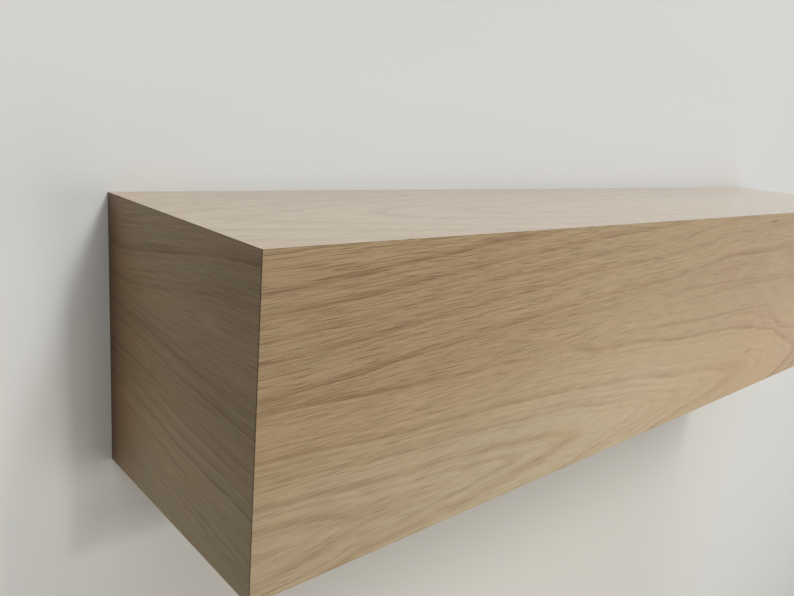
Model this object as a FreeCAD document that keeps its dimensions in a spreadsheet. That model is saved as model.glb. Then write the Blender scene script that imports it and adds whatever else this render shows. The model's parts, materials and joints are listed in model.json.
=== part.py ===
import FreeCAD, Part
import Sketcher
import os
from FreeCAD import Vector

# A hollow floating wall shelf: a mitred box of veneered plywood boards that hangs on a French cleat.
# Millimetres. X runs along the shelf, Y into the wall, whose face is y = 0, and Z up.
# The origin is the centre of the wall cleat's back face.

SIZES = {
    # the box
    "shelf_length": 1000,
    "shelf_depth": 200,
    "shelf_height": 200,
    "board_thickness": 18,
    "veneer_thickness": 0.6,
    "arris_radius": 0.5,
    # the back panel, let into grooves in the boards
    "panel_thickness": 12,
    "groove_depth": 6,
    "groove_clearance": 0.5,
    # the French cleat: the wall cleat and the hanging rail are ripped from one board at 45 degrees
    "cleat_thickness": 18,
    "cleat_clearance": 2,
    "cleat_end_gap": 32,
    "rail_height": 55,
    "rail_end_gap": 2,
    "lift_room": 23,
    "batten_height": 20,
    # holes for the wall screws
    "wall_screw_hole": 5.5,
    "wall_screw_sink": 11,
    "wall_screw_end_distance": 50,
    "wall_screw_pitch": 200,
    # the ribs and the glue blocks inside the box
    "rib_thickness": 15,
    "block_leg": 22,
    "block_length": 110,
    # the biscuits in the mitres
    "biscuit_length": 53,
    "biscuit_width": 19,
    "biscuit_thickness": 4,
    "biscuit_depth": 12,
    "biscuit_slack": 0.2,
    "front_biscuit_pitch": 160,
    "end_biscuit_pitch": 80,
    # the wood screws of the rail and the batten
    "screw_shank": 4,
    "screw_head": 8,
    "screw_length": 50,
    "screw_point": 5,
    "screw_play": 0.1,
    "recess_width": 3.6,
    "recess_slot": 1,
    "recess_sink": 1.2,
    "rail_screw_rise": 16,
    # the felt pads that rest on the wall
    "felt_diameter": 16,
}

# The ribs part the box into equal bays.
BAY_COUNT = 4
RIBS = {"left_rib": -1, "middle_rib": 0, "right_rib": 1}

# Places that follow from the sizes.
LAYOUT = {
    "recess_depth": "Sizes.cleat_thickness + Sizes.cleat_clearance",
    "inner_length": "Sizes.shelf_length - 2 * Sizes.board_thickness",
    "inner_height": "Sizes.shelf_height - 2 * Sizes.board_thickness",
    "cleat_length": "inner_length - 2 * Sizes.cleat_end_gap",
    "cleat_height": "inner_height - Sizes.rail_height - Sizes.cleat_clearance"
                    " - Sizes.lift_room - Sizes.batten_height",
    "rail_length": "inner_length - 2 * Sizes.rail_end_gap",
    "rail_tip_z": "cleat_height / 2 + Sizes.cleat_clearance",
    "ceiling_z": "rail_tip_z + Sizes.rail_height",
    "floor_z": "ceiling_z - inner_height",
    "middle_z": "(ceiling_z + floor_z) / 2",
    "rear_face_y": "-Sizes.cleat_clearance",
    "panel_front_y": "-(recess_depth + Sizes.panel_thickness)",
    "board_front_y": "Sizes.board_thickness - Sizes.shelf_depth",
    "middle_y": "(panel_front_y + board_front_y) / 2",
    "inner_depth": "panel_front_y - board_front_y",
    "bay_pitch": f"Sizes.shelf_length / {BAY_COUNT}",
    "first_bay_x": f"-bay_pitch * {BAY_COUNT - 1} / 2",
    "first_rib_x": f"-bay_pitch * {len(RIBS) - 1} / 2",
    "wall_screw_x": "cleat_length / 2 - Sizes.wall_screw_end_distance",
    "panel_inset": "Sizes.board_thickness - Sizes.groove_depth + Sizes.groove_clearance",
    "rail_shoulder_z": "rail_tip_z + Sizes.cleat_thickness",
    "rail_screw_z": "(rail_shoulder_z + ceiling_z - Sizes.rail_screw_rise) / 2",
    "batten_screw_z": "floor_z + Sizes.batten_height / 2",
    "front_biscuits": "floor((inner_length - Sizes.biscuit_length) / Sizes.front_biscuit_pitch) + 1",
    "side_biscuits": "floor((inner_depth - Sizes.biscuit_length) / Sizes.end_biscuit_pitch) + 1",
    "upright_biscuits": "floor((inner_height - Sizes.biscuit_length) / Sizes.end_biscuit_pitch) + 1",
}

doc = FreeCAD.newDocument("FloatingShelf")


def fill_sheet(name, cells):
    sheet = doc.addObject("Spreadsheet::Sheet", name)
    for row, (alias, content) in enumerate(cells.items(), start=1):
        sheet.set(f"A{row}", alias)
        sheet.set(f"B{row}", str(content))
        sheet.setAlias(f"B{row}", alias)
    doc.recompute()
    return sheet


sizes = fill_sheet("Sizes", SIZES)
fill_sheet("Layout", {alias: "=" + rule for alias, rule in LAYOUT.items()})


def number(expression):
    return float(sizes.evalExpression(expression))


# The faces of the box: each function gives the place of a plane at a depth inside that face.
def top(depth):
    return f"Layout.ceiling_z + Sizes.board_thickness - {depth}"


def bottom(depth):
    return f"Layout.floor_z - Sizes.board_thickness + {depth}"


def front(depth):
    return f"{depth} - Sizes.shelf_depth"


def left(depth):
    return f"{depth} - Sizes.shelf_length / 2"


def right(depth):
    return f"Sizes.shelf_length / 2 - {depth}"


# Sketches and features.
def new_body(label):
    body = doc.addObject("PartDesign::Body", label)
    body.Label = label
    return body


def sketch_on(body, name, role, **offset):
    """A sketch on one of the body's origin planes, moved by the offset's x, y and z."""
    sketch = body.newObject("Sketcher::SketchObject", f"{body.Label}_{name}")
    sketch.AttachmentSupport = origin_part(body, role)
    sketch.MapMode = "FlatFace"
    for axis, expression in offset.items():
        sketch.setExpression(f"AttachmentOffset.Base.{axis}", expression)
    sketch.Visibility = False
    return sketch


def dimension(sketch, kind, *target):
    """Adds a dimension whose last argument is the expression that drives it."""
    *where, expression = target
    index = sketch.addConstraint(Sketcher.Constraint(kind, *where, number(expression)))
    sketch.setExpression(f"Constraints[{index}]", expression)


def outline(sketch, *corners):
    """A closed outline of straight lines through corners given as pairs of expressions."""
    points = [Vector(number(across), number(up), 0) for across, up in corners]
    first = sketch.GeometryCount
    for start, end in zip(points, points[1:] + points[:1]):
        sketch.addGeometry(Part.LineSegment(start, end))
    for index, (across, up) in enumerate(corners):
        line = first + index
        following = first + (index + 1) % len(corners)
        sketch.addConstraint(Sketcher.Constraint("Coincident", line, 2, following, 1))
        dimension(sketch, "DistanceX", line, 1, across)
        dimension(sketch, "DistanceY", line, 1, up)


def rectangle(sketch, across, up):
    """A rectangle between the two places in across and the two in up."""
    outline(sketch, (across[0], up[0]), (across[1], up[0]), (across[1], up[1]), (across[0], up[1]))


def circle(sketch, across, up, diameter):
    centre = Vector(number(across), number(up), 0)
    index = sketch.addGeometry(Part.Circle(centre, Vector(0, 0, 1), number(diameter) / 2))
    dimension(sketch, "DistanceX", index, 3, across)
    dimension(sketch, "DistanceY", index, 3, up)
    dimension(sketch, "Diameter", index, diameter)


def feature(body, kind, sketch, **settings):
    """A feature made from a sketch; a setting that is a text is an expression."""
    item = body.newObject("PartDesign::" + kind, f"{sketch.Name}_{kind.lower()}")
    item.Profile = sketch
    for name, setting in settings.items():
        if isinstance(setting, str) and name not in ("SideType", "Type"):
            item.setExpression(name, setting)
        else:
            setattr(item, name, setting)
    doc.recompute()
    return item


def pad(body, sketch, length, side="Symmetric"):
    return feature(body, "Pad", sketch, SideType=side, Length=length)


def cut(body, kind, sketch, **settings):
    """A subtractive feature, which has to take something away."""
    volume = body.Shape.Volume
    item = feature(body, kind, sketch, **settings)
    if body.Shape.Volume >= volume:
        raise RuntimeError(f"{item.Name} cuts nothing")
    return item


def cut_through(body, sketch):
    return cut(body, "Pocket", sketch, SideType="Symmetric", Type="ThroughAll")


def origin_part(body, role):
    """One of the body's own origin planes or axes, as something to attach to or run along."""
    return next(item for item in body.Origin.OriginFeatures if item.Role == role), [""]


def repeat(body, items, along, count, pitch, up=None, rise=None):
    """Repeats features in a row that starts with the drawn one, and in a second row above it."""
    pattern = body.newObject("PartDesign::LinearPattern", items[-1].Name + "_row")
    pattern.Originals = items
    pattern.Direction = along
    pattern.Mode = "Spacing"
    pattern.setExpression("Occurrences", count)
    pattern.setExpression("Offset", pitch)
    if rise:
        pattern.Direction2 = up
        pattern.Occurrences2 = 2
        pattern.setExpression("Length2", rise)
    body.Tip = pattern
    doc.recompute()


# Boards. Each is a veneer and a core, and each of those is a slab between two depths inside the
# faces of the box, mitred wherever it meets another board.
VENEER = ("0", "Sizes.veneer_thickness")
CORE = ("Sizes.veneer_thickness", "Sizes.board_thickness")


def mitre_ends(body, plane, face, slab):
    outer, inner = slab
    waste = sketch_on(body, "end_mitres", plane)
    for side in (left, right):
        outline(waste, (side(outer), face(outer)), (side(inner), face(inner)), (side(outer), face(inner)))
    cut_through(body, waste)


def level_board(label, face, slab):
    """The slab of the top or the bottom board."""
    outer, inner = slab
    body = new_body(label)
    section = sketch_on(body, "section", "YZ_Plane")
    outline(section, ("0", face(outer)), (front(outer), face(outer)),
            (front(inner), face(inner)), ("0", face(inner)))
    pad(body, section, f"Sizes.shelf_length - 2 * {outer}")
    mitre_ends(body, "XZ_Plane", face, slab)
    return body


def front_board(label, slab):
    outer, inner = slab
    body = new_body(label)
    section = sketch_on(body, "section", "YZ_Plane")
    outline(section, (front(outer), top(outer)), (front(inner), top(inner)),
            (front(inner), bottom(inner)), (front(outer), bottom(outer)))
    pad(body, section, f"Sizes.shelf_length - 2 * {outer}")
    mitre_ends(body, "XY_Plane", front, slab)
    return body


def end_board(label, side, slab):
    """The slab of the left or the right end board."""
    outer, inner = slab
    body = new_body(label)
    section = sketch_on(body, "section", "XZ_Plane")
    outline(section, (side(outer), top(outer)), (side(inner), top(inner)),
            (side(inner), bottom(inner)), (side(outer), bottom(outer)))
    pad(body, section, f"Sizes.shelf_depth - {outer}", side="One side")
    waste = sketch_on(body, "front_mitre", "XY_Plane")
    outline(waste, (side(outer), front(outer)), (side(inner), front(inner)), (side(inner), front(outer)))
    cut_through(body, waste)
    return body


def rounded_corner(sketch, across, up):
    """The waste outside a quarter round between two faces of the box."""
    radius = "Sizes.arris_radius"
    corner = Vector(number(across("0")), number(up("0")), 0)
    centre = Vector(number(across(radius)), number(up(radius)), 0)
    level_end = Vector(centre.x, corner.y, 0)
    upright_end = Vector(corner.x, centre.y, 0)
    crown = centre + (corner - centre).normalize() * number(radius)
    level = sketch.addGeometry(Part.LineSegment(corner, level_end))
    upright = sketch.addGeometry(Part.LineSegment(corner, upright_end))
    arc = sketch.addGeometry(Part.Arc(level_end, crown, upright_end))
    from_level, to_upright = arc_ends(sketch, arc, level_end)
    sketch.addConstraint([
        Sketcher.Constraint("Coincident", level, 1, upright, 1),
        Sketcher.Constraint("Horizontal", level),
        Sketcher.Constraint("Vertical", upright),
        Sketcher.Constraint("Tangent", level, 2, arc, from_level),
        Sketcher.Constraint("Tangent", upright, 2, arc, to_upright),
    ])
    dimension(sketch, "DistanceX", level, 1, across("0"))
    dimension(sketch, "DistanceY", level, 1, up("0"))
    dimension(sketch, "Radius", arc, radius)


def arc_ends(sketch, arc, point):
    """The arc's end number at the point, and its other one."""
    return (1, 2) if sketch.getPoint(arc, 1).isEqual(point, 1e-6) else (2, 1)


ARRISES = {
    "YZ_Plane": [(front, top), (front, bottom)],
    "XZ_Plane": [(left, top), (right, top), (left, bottom), (right, bottom)],
    "XY_Plane": [(left, front), (right, front)],
}


def ease_arrises(body, *planes):
    """Rounds the outer edges of the box, square to the given planes, where this veneer reaches them."""
    for plane in planes:
        waste = sketch_on(body, "arrises_" + plane[:2], plane)
        for across, up in ARRISES[plane]:
            rounded_corner(waste, across, up)
        cut_through(body, waste)
    return body


# Biscuits. A mitre runs along X, Y or Z where two boards meet, and its biscuits lie square to it.
def mitre_seat(name, run, normal, centre, count, pitch):
    return {"name": name, "run": Vector(*run), "normal": Vector(*normal).normalize(),
            "centre": centre, "count": "Layout." + count, "pitch": "Sizes." + pitch}


def front_seat(name, face, slope):
    depth = "Sizes.biscuit_depth"
    centre = ("0", front(depth), face(depth))
    return mitre_seat(name, (1, 0, 0), (0, 1, slope), centre, "front_biscuits", "front_biscuit_pitch")


def side_seat(name, side, inward, face, slope):
    depth = "Sizes.biscuit_depth"
    centre = (side(depth), "Layout.middle_y", face(depth))
    return mitre_seat(name, (0, 1, 0), (inward, 0, slope), centre, "side_biscuits", "end_biscuit_pitch")


def upright_seat(name, side, inward):
    depth = "Sizes.biscuit_depth"
    centre = (side(depth), front(depth), "Layout.middle_z")
    return mitre_seat(name, (0, 0, 1), (inward, -1, 0), centre, "upright_biscuits", "end_biscuit_pitch")


TOP_FRONT = front_seat("top_front", top, 1)
BOTTOM_FRONT = front_seat("bottom_front", bottom, -1)
LEFT_TOP = side_seat("left_top", left, 1, top, 1)
LEFT_BOTTOM = side_seat("left_bottom", left, 1, bottom, -1)
LEFT_FRONT = upright_seat("left_front", left, 1)
RIGHT_TOP = side_seat("right_top", right, -1, top, 1)
RIGHT_BOTTOM = side_seat("right_bottom", right, -1, bottom, -1)
RIGHT_FRONT = upright_seat("right_front", right, -1)


def biscuit_sketch(body, seat, slack):
    """The lens of a mitre's first biscuit, flat in the plane square to the mitre."""
    sketch = sketch_on(body, seat["name"], "XY_Plane")
    turn = FreeCAD.Rotation(seat["run"], seat["normal"], seat["run"].cross(seat["normal"]), "XYZ")
    sketch.AttachmentOffset = FreeCAD.Placement(Vector(0, 0, 0), turn)
    for axis, place in zip("xyz", seat["centre"]):
        sketch.setExpression(f"AttachmentOffset.Base.{axis}", place)
    reach = f"(Sizes.biscuit_length / 2 + {slack})"
    bulge = f"(Sizes.biscuit_width / 2 + {slack})"
    radius = f"({reach} ^ 2 + {bulge} ^ 2) / (2 * {bulge})"
    middle = f"-({seat['count']} - 1) * {seat['pitch']} / 2"
    start = Vector(number(f"{middle} - {reach}"), 0, 0)
    end = Vector(number(f"{middle} + {reach}"), 0, 0)
    arcs = []
    for sign in (1, -1):
        crown = Vector(number(middle), sign * number(bulge), 0)
        arc = sketch.addGeometry(Part.Arc(start, crown, end))
        dimension(sketch, "Radius", arc, radius)
        arcs.append((arc, arc_ends(sketch, arc, start)))
    (upper, upper_ends), (lower, lower_ends) = arcs
    places = (f"{middle} - {reach}", f"{middle} + {reach}")
    for upper_end, lower_end, place in zip(upper_ends, lower_ends, places):
        sketch.addConstraint(Sketcher.Constraint("Coincident", upper, upper_end, lower, lower_end))
        sketch.addConstraint(Sketcher.Constraint("PointOnObject", upper, upper_end, -1))
        dimension(sketch, "DistanceX", upper, upper_end, place)
    return sketch


def biscuits(label, *seats):
    body = new_body(label)
    for seat in seats:
        sketch = biscuit_sketch(body, seat, "0")
        one = pad(body, sketch, "Sizes.biscuit_thickness")
        repeat(body, [one], (sketch, ["H_Axis"]), seat["count"], seat["pitch"])
    return body


def cut_biscuit_slots(body, *seats):
    slack = "Sizes.biscuit_slack"
    for seat in seats:
        sketch = biscuit_sketch(body, seat, slack)
        slot = cut(body, "Pocket", sketch, SideType="Symmetric",
                   Length=f"Sizes.biscuit_thickness + 2 * {slack}")
        repeat(body, [slot], (sketch, ["H_Axis"]), seat["count"], seat["pitch"])


# Screws, driven forward from the rear face of the rail or the batten into the ribs.
RAIL_SCREWS = {"name": "rail_screws", "z": "Layout.rail_screw_z", "rise": "Sizes.rail_screw_rise"}
BATTEN_SCREWS = {"name": "batten_screws", "z": "Layout.batten_screw_z", "rise": None}


def screw_sketch(body, screws, first_x, play):
    """Half of a countersunk screw's lengthwise section, with its axis along the sketch's own."""
    sketch = sketch_on(body, screws["name"], "YZ_Plane", x="Layout.rear_face_y", y=screws["z"], z=first_x)
    head = f"(Sizes.screw_head / 2 + {play})"
    shank = f"(Sizes.screw_shank / 2 + {play})"
    length = f"(Sizes.screw_length + {play})"
    outline(sketch, ("0", "0"), ("0", head), (f"{shank} - {head}", shank),
            (f"Sizes.screw_point - {length}", shank), (f"-{length}", "0"))
    return sketch


def screws(label, group):
    """A group of countersunk screws with a cross recess in each head."""
    body = new_body(label)
    section = screw_sketch(body, group, "Layout.first_rib_x", "0")
    turned = feature(body, "Revolution", section, ReferenceAxis=(section, ["H_Axis"]))
    cross = sketch_on(body, "recess", "XZ_Plane",
                      x="Layout.first_rib_x", y=group["z"], z="-Layout.rear_face_y")
    wide, slot = "Sizes.recess_width / 2", "Sizes.recess_slot / 2"
    outline(cross, (wide, slot), (slot, slot), (slot, wide), (f"-{slot}", wide), (f"-{slot}", slot),
            (f"-{wide}", slot), (f"-{wide}", f"-{slot}"), (f"-{slot}", f"-{slot}"), (f"-{slot}", f"-{wide}"),
            (slot, f"-{wide}"), (slot, f"-{slot}"), (wide, f"-{slot}"))
    sunk = cut(body, "Pocket", cross, Reversed=True, Length="Sizes.recess_sink")
    repeat_screws(body, [turned, sunk], group)
    return body


def cut_screw_holes(body, group, first_x="Layout.first_rib_x", columns=len(RIBS)):
    """Countersunk clearance holes in whatever the group of screws passes through."""
    section = screw_sketch(body, group, first_x, "Sizes.screw_play")
    hole = cut(body, "Groove", section, ReferenceAxis=(section, ["H_Axis"]))
    repeat_screws(body, [hole], group, columns)


def repeat_screws(body, items, group, columns=len(RIBS)):
    repeat(body, items, origin_part(body, "X_Axis"), str(columns), "Layout.bay_pitch",
           origin_part(body, "Z_Axis"), group["rise"])


# The pieces.
def cut_panel_groove(body, plane, face):
    """The groove for the back panel, across the sketch in a level board and up it in an end board."""
    sides = (face("Sizes.board_thickness"), face("(Sizes.board_thickness - Sizes.groove_depth)"))
    faces = ("-Layout.recess_depth", "Layout.panel_front_y")
    groove = sketch_on(body, "panel_groove", plane)
    if plane == "YZ_Plane":
        rectangle(groove, faces, sides)
    else:
        rectangle(groove, sides, faces)
    cut_through(body, groove)


def veneers():
    return [
        ease_arrises(level_board("top_veneer", top, VENEER), "YZ_Plane", "XZ_Plane"),
        ease_arrises(level_board("bottom_veneer", bottom, VENEER), "YZ_Plane", "XZ_Plane"),
        ease_arrises(front_board("front_veneer", VENEER), "YZ_Plane", "XY_Plane"),
        ease_arrises(end_board("left_end_veneer", left, VENEER), "XZ_Plane", "XY_Plane"),
        ease_arrises(end_board("right_end_veneer", right, VENEER), "XZ_Plane", "XY_Plane"),
    ]


def cores():
    top_core = level_board("top_core", top, CORE)
    cut_panel_groove(top_core, "YZ_Plane", top)
    cut_biscuit_slots(top_core, TOP_FRONT, LEFT_TOP, RIGHT_TOP)

    bottom_core = level_board("bottom_core", bottom, CORE)
    cut_panel_groove(bottom_core, "YZ_Plane", bottom)
    cut_biscuit_slots(bottom_core, BOTTOM_FRONT, LEFT_BOTTOM, RIGHT_BOTTOM)

    front_core = front_board("front_core", CORE)
    cut_biscuit_slots(front_core, TOP_FRONT, BOTTOM_FRONT, LEFT_FRONT, RIGHT_FRONT)

    left_core = end_board("left_end_core", left, CORE)
    cut_panel_groove(left_core, "XY_Plane", left)
    cut_biscuit_slots(left_core, LEFT_TOP, LEFT_BOTTOM, LEFT_FRONT)

    right_core = end_board("right_end_core", right, CORE)
    cut_panel_groove(right_core, "XY_Plane", right)
    cut_biscuit_slots(right_core, RIGHT_TOP, RIGHT_BOTTOM, RIGHT_FRONT)
    return [top_core, bottom_core, front_core, left_core, right_core]


def back_panel():
    body = new_body("back_panel")
    inset = "Layout.panel_inset"
    outside = sketch_on(body, "outside", "XZ_Plane", z="Layout.recess_depth")
    rectangle(outside, (left(inset), right(inset)), (bottom(inset), top(inset)))
    pad(body, outside, "Sizes.panel_thickness", side="One side")
    cut_screw_holes(body, RAIL_SCREWS)
    cut_screw_holes(body, BATTEN_SCREWS)
    return body


def rib(label, place):
    """A rib is drawn about x = 0 and placed at its own line between two bays."""
    body = new_body(label)
    section = sketch_on(body, "section", "YZ_Plane")
    rectangle(section, ("Layout.panel_front_y", "Layout.board_front_y"),
              ("Layout.floor_z", "Layout.ceiling_z"))
    pad(body, section, "Sizes.rib_thickness")
    cut_screw_holes(body, RAIL_SCREWS, first_x="0", columns=1)
    cut_screw_holes(body, BATTEN_SCREWS, first_x="0", columns=1)
    body.setExpression("Placement.Base.x", f"{place} * Layout.bay_pitch")
    return body


def hanging_rail():
    """The rail's bevel rests on the wall cleat's, and its tip points down beside the wall."""
    body = new_body("hanging_rail")
    section = sketch_on(body, "section", "YZ_Plane")
    outline(section, ("Layout.rear_face_y", "Layout.rail_tip_z"), ("Layout.rear_face_y", "Layout.ceiling_z"),
            ("-Layout.recess_depth", "Layout.ceiling_z"),
            ("-Layout.recess_depth", "Layout.rail_shoulder_z"))
    pad(body, section, "Layout.rail_length")
    cut_screw_holes(body, RAIL_SCREWS)
    return body


def spacer_batten():
    body = new_body("spacer_batten")
    section = sketch_on(body, "section", "YZ_Plane")
    rectangle(section, ("Layout.rear_face_y", "-Layout.recess_depth"),
              ("Layout.floor_z", "Layout.floor_z + Sizes.batten_height"))
    pad(body, section, "Layout.rail_length")
    cut_screw_holes(body, BATTEN_SCREWS)
    return body


def wall_cleat():
    """The cleat's bevel rises away from the wall as far as the cleat is thick."""
    body = new_body("wall_cleat")
    foot, shoulder = "-Layout.cleat_height / 2", "Layout.cleat_height / 2"
    section = sketch_on(body, "section", "YZ_Plane")
    front_face = "-Sizes.cleat_thickness"
    outline(section, ("0", foot), ("0", shoulder),
            (front_face, f"{shoulder} + Sizes.cleat_thickness"), (front_face, foot))
    pad(body, section, "Layout.cleat_length")
    places = sketch_on(body, "wall_screws", "XZ_Plane", z="Sizes.cleat_thickness")
    for place in ("Layout.wall_screw_x", "(Layout.wall_screw_x - Sizes.wall_screw_pitch)"):
        circle(places, place, "0", "Sizes.wall_screw_hole")
        circle(places, f"-{place}", "0", "Sizes.wall_screw_hole")
    volume = body.Shape.Volume
    hole = feature(body, "Hole", places)
    hole.DepthType = "ThroughAll"
    hole.HoleCutType = "Countersink"
    hole.HoleCutCustomValues = True
    hole.HoleCutCountersinkAngle = 90
    hole.setExpression("Diameter", "Sizes.wall_screw_hole")
    hole.setExpression("HoleCutDiameter", "Sizes.wall_screw_sink")
    doc.recompute()
    if body.Shape.Volume >= volume:
        raise RuntimeError("the wall screws' holes cut nothing")
    return body


def glue_blocks(label, face, inward):
    """Three-cornered blocks in the corner behind the front board, one in each bay."""
    body = new_body(label)
    corner = face("Sizes.board_thickness")
    section = sketch_on(body, "section", "YZ_Plane", z="Layout.first_bay_x")
    outline(section, ("Layout.board_front_y", corner), ("Layout.board_front_y + Sizes.block_leg", corner),
            ("Layout.board_front_y", f"{corner} {inward} Sizes.block_leg"))
    block = pad(body, section, "Sizes.block_length")
    repeat(body, [block], origin_part(body, "X_Axis"), str(BAY_COUNT), "Layout.bay_pitch")
    return body


def wall_pads():
    """Felt discs on the batten's rear face, which touch the wall behind each bay."""
    body = new_body("wall_pads")
    disc = sketch_on(body, "disc", "XZ_Plane")
    circle(disc, "Layout.first_bay_x", "Layout.batten_screw_z", "Sizes.felt_diameter")
    felt = pad(body, disc, "Sizes.cleat_clearance", side="One side")
    repeat(body, [felt], origin_part(body, "X_Axis"), str(BAY_COUNT), "Layout.bay_pitch")
    return body


pieces = [
    wall_cleat(),
    hanging_rail(),
    spacer_batten(),
    wall_pads(),
    back_panel(),
    *veneers(),
    *cores(),
    *(rib(label, place) for label, place in RIBS.items()),
    biscuits("top_front_biscuits", TOP_FRONT),
    biscuits("bottom_front_biscuits", BOTTOM_FRONT),
    biscuits("left_end_biscuits", LEFT_TOP, LEFT_BOTTOM, LEFT_FRONT),
    biscuits("right_end_biscuits", RIGHT_TOP, RIGHT_BOTTOM, RIGHT_FRONT),
    glue_blocks("top_glue_blocks", top, "-"),
    glue_blocks("bottom_glue_blocks", bottom, "+"),
    screws("hanging_rail_screws", RAIL_SCREWS),
    screws("spacer_batten_screws", BATTEN_SCREWS),
]
doc.recompute()

for item in doc.Objects:
    if "Invalid" in item.State or "Error" in item.State:
        raise RuntimeError(f"{item.Name} did not compute: {item.getStatusString()}")
for piece in pieces:
    if piece.Shape.isNull() or not piece.Shape.isValid():
        raise RuntimeError(f"{piece.Label} has no valid shape")

os.makedirs("parts", exist_ok=True)
for piece in pieces:
    piece.Shape.exportStep(f"parts/{piece.Label}.step")
print(f"{len(pieces)} pieces written")
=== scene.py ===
"""Looks of the floating wall shelf: an oak veneered box on a hidden hanging cleat.

Everything is in metres in the row frame: X along the shelf, the wall at Y = 0, Z up.
Only the finishes count in millimetres.
"""

import json
import math

import bmesh
import bpy
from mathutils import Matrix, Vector, noise

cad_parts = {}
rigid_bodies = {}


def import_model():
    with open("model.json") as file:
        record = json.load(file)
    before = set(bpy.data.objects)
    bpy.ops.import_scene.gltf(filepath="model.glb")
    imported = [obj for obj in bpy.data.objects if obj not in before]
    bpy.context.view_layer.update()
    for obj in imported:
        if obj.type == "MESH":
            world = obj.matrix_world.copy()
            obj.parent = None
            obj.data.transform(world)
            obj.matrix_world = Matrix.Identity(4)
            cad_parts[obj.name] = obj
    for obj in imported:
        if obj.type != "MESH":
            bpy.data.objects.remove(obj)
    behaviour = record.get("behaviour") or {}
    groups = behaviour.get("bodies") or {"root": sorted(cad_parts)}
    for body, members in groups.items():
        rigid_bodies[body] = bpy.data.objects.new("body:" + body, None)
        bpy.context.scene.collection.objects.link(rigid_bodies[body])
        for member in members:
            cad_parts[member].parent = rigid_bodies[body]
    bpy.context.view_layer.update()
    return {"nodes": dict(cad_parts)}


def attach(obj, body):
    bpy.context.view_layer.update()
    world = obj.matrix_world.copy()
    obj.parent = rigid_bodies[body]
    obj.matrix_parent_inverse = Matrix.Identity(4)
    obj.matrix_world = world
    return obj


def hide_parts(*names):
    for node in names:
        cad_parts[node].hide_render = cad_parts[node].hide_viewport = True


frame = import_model()

MM = 0.001
PER_MM = 1000.0

# ---------------------------------------------------------------------------
# Shader and Geometry Nodes maths


class Value:
    """A number that varies over a surface: one output of a node, which takes part in sums."""

    def __init__(self, tree, socket):
        self.tree = tree
        self.socket = socket

    def __add__(self, other):
        return self.tree.math("ADD", self, other)

    __radd__ = __add__

    def __sub__(self, other):
        return self.tree.math("SUBTRACT", self, other)

    def __rsub__(self, other):
        return self.tree.math("SUBTRACT", other, self)

    def __neg__(self):
        return self.tree.math("SUBTRACT", 0.0, self)

    def __mul__(self, other):
        return self.tree.math("MULTIPLY", self, other)

    __rmul__ = __mul__

    def __truediv__(self, other):
        return self.tree.math("DIVIDE", self, other)

    def __pow__(self, other):
        return self.tree.math("POWER", self, other)


class Tree:
    """The nodes of one material, of the world or of one Geometry Nodes group."""

    def __init__(self, node_tree):
        self.nodes = node_tree.nodes
        self.links = node_tree.links

    def add(self, kind, settings=None, sockets=None, output=0):
        """Adds a node: its settings first, then the values or links of its sockets."""
        node = self.nodes.new(kind)
        for name, setting in (settings or {}).items():
            if name == "stops":
                fill_ramp(node.color_ramp, setting)
            else:
                setattr(node, name, setting)
        for name, value in (sockets or {}).items():
            if isinstance(value, Value):
                self.links.new(value.socket, node.inputs[name])
            else:
                node.inputs[name].default_value = value
        return None if output is None else Value(self, node.outputs[output])

    def math(self, operation, *operands):
        """One sum of up to three numbers."""
        return self.add("ShaderNodeMath", {"operation": operation}, dict(enumerate(operands)))

    def step(self, value, low, high, start=0.0, end=1.0):
        """Goes smoothly from start to end as value goes from low to high."""
        return self.add("ShaderNodeMapRange", {"interpolation_type": "SMOOTHSTEP"},
                        {"Value": value, "From Min": low, "From Max": high,
                         "To Min": start, "To Max": end})

    def hump(self, value, low, full, full_to, high):
        """Rises smoothly from 0 to 1 between low and full, and falls back between full_to and high."""
        return self.step(value, low, full) * self.step(value, full_to, high, 1.0, 0.0)

    def vector(self, x, y, z):
        return self.add("ShaderNodeCombineXYZ", None, {"X": x, "Y": y, "Z": z})

    def noise(self, place, detail=1.0, roughness=0.5, distortion=0.0):
        """Noise from 0 to 1 that varies over about one unit of place."""
        return self.add("ShaderNodeTexNoise", {"noise_dimensions": "3D"},
                        {"Vector": place, "Scale": 1.0, "Detail": detail, "Roughness": roughness,
                         "Distortion": distortion})

    def marks(self, along, length, across, width, seed, detail=1.0, roughness=0.5, distortion=0.0):
        """Noise whose marks have a length along the grain and a width across it.

        seed keeps it apart from the other noises of the finish.
        """
        place = self.vector(along / length, across / width, seed)
        return self.noise(place, detail, roughness, distortion)

    def specks(self, place, size, detail=1.0, roughness=0.5, distortion=0.0):
        """Noise whose specks have one size, or one for each axis."""
        sizes = size if isinstance(size, tuple) else (size, size, size)
        cells = [part / cell for part, cell in zip(place, sizes)]
        return self.noise(self.vector(*cells), detail, roughness, distortion)

    def part_of(self, value):
        """What a value has past its whole number."""
        return value - self.math("FLOOR", value)

    def blend(self, factor, first, second):
        """A colour that goes from first to second as factor goes from 0 to 1."""
        first_socket, second_socket, result = 6, 7, 2
        return self.add("ShaderNodeMix", {"data_type": "RGBA"},
                        {0: factor, first_socket: first, second_socket: second}, output=result)

    def scaled(self, colour, amount):
        """A colour made brighter or darker by an amount."""
        return self.add("ShaderNodeVectorMath", {"operation": "SCALE"},
                        {"Vector": colour, "Scale": amount})


def fill_ramp(ramp, stops):
    """Sets a colour ramp; stops is its interpolation, then (position, colour) pairs in order."""
    interpolation, *pairs = stops
    ramp.interpolation = interpolation
    while len(ramp.elements) < len(pairs):
        ramp.elements.new(1.0)
    for element, (position, colour) in zip(ramp.elements, pairs):
        element.position = position
        element.color = colour


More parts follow.
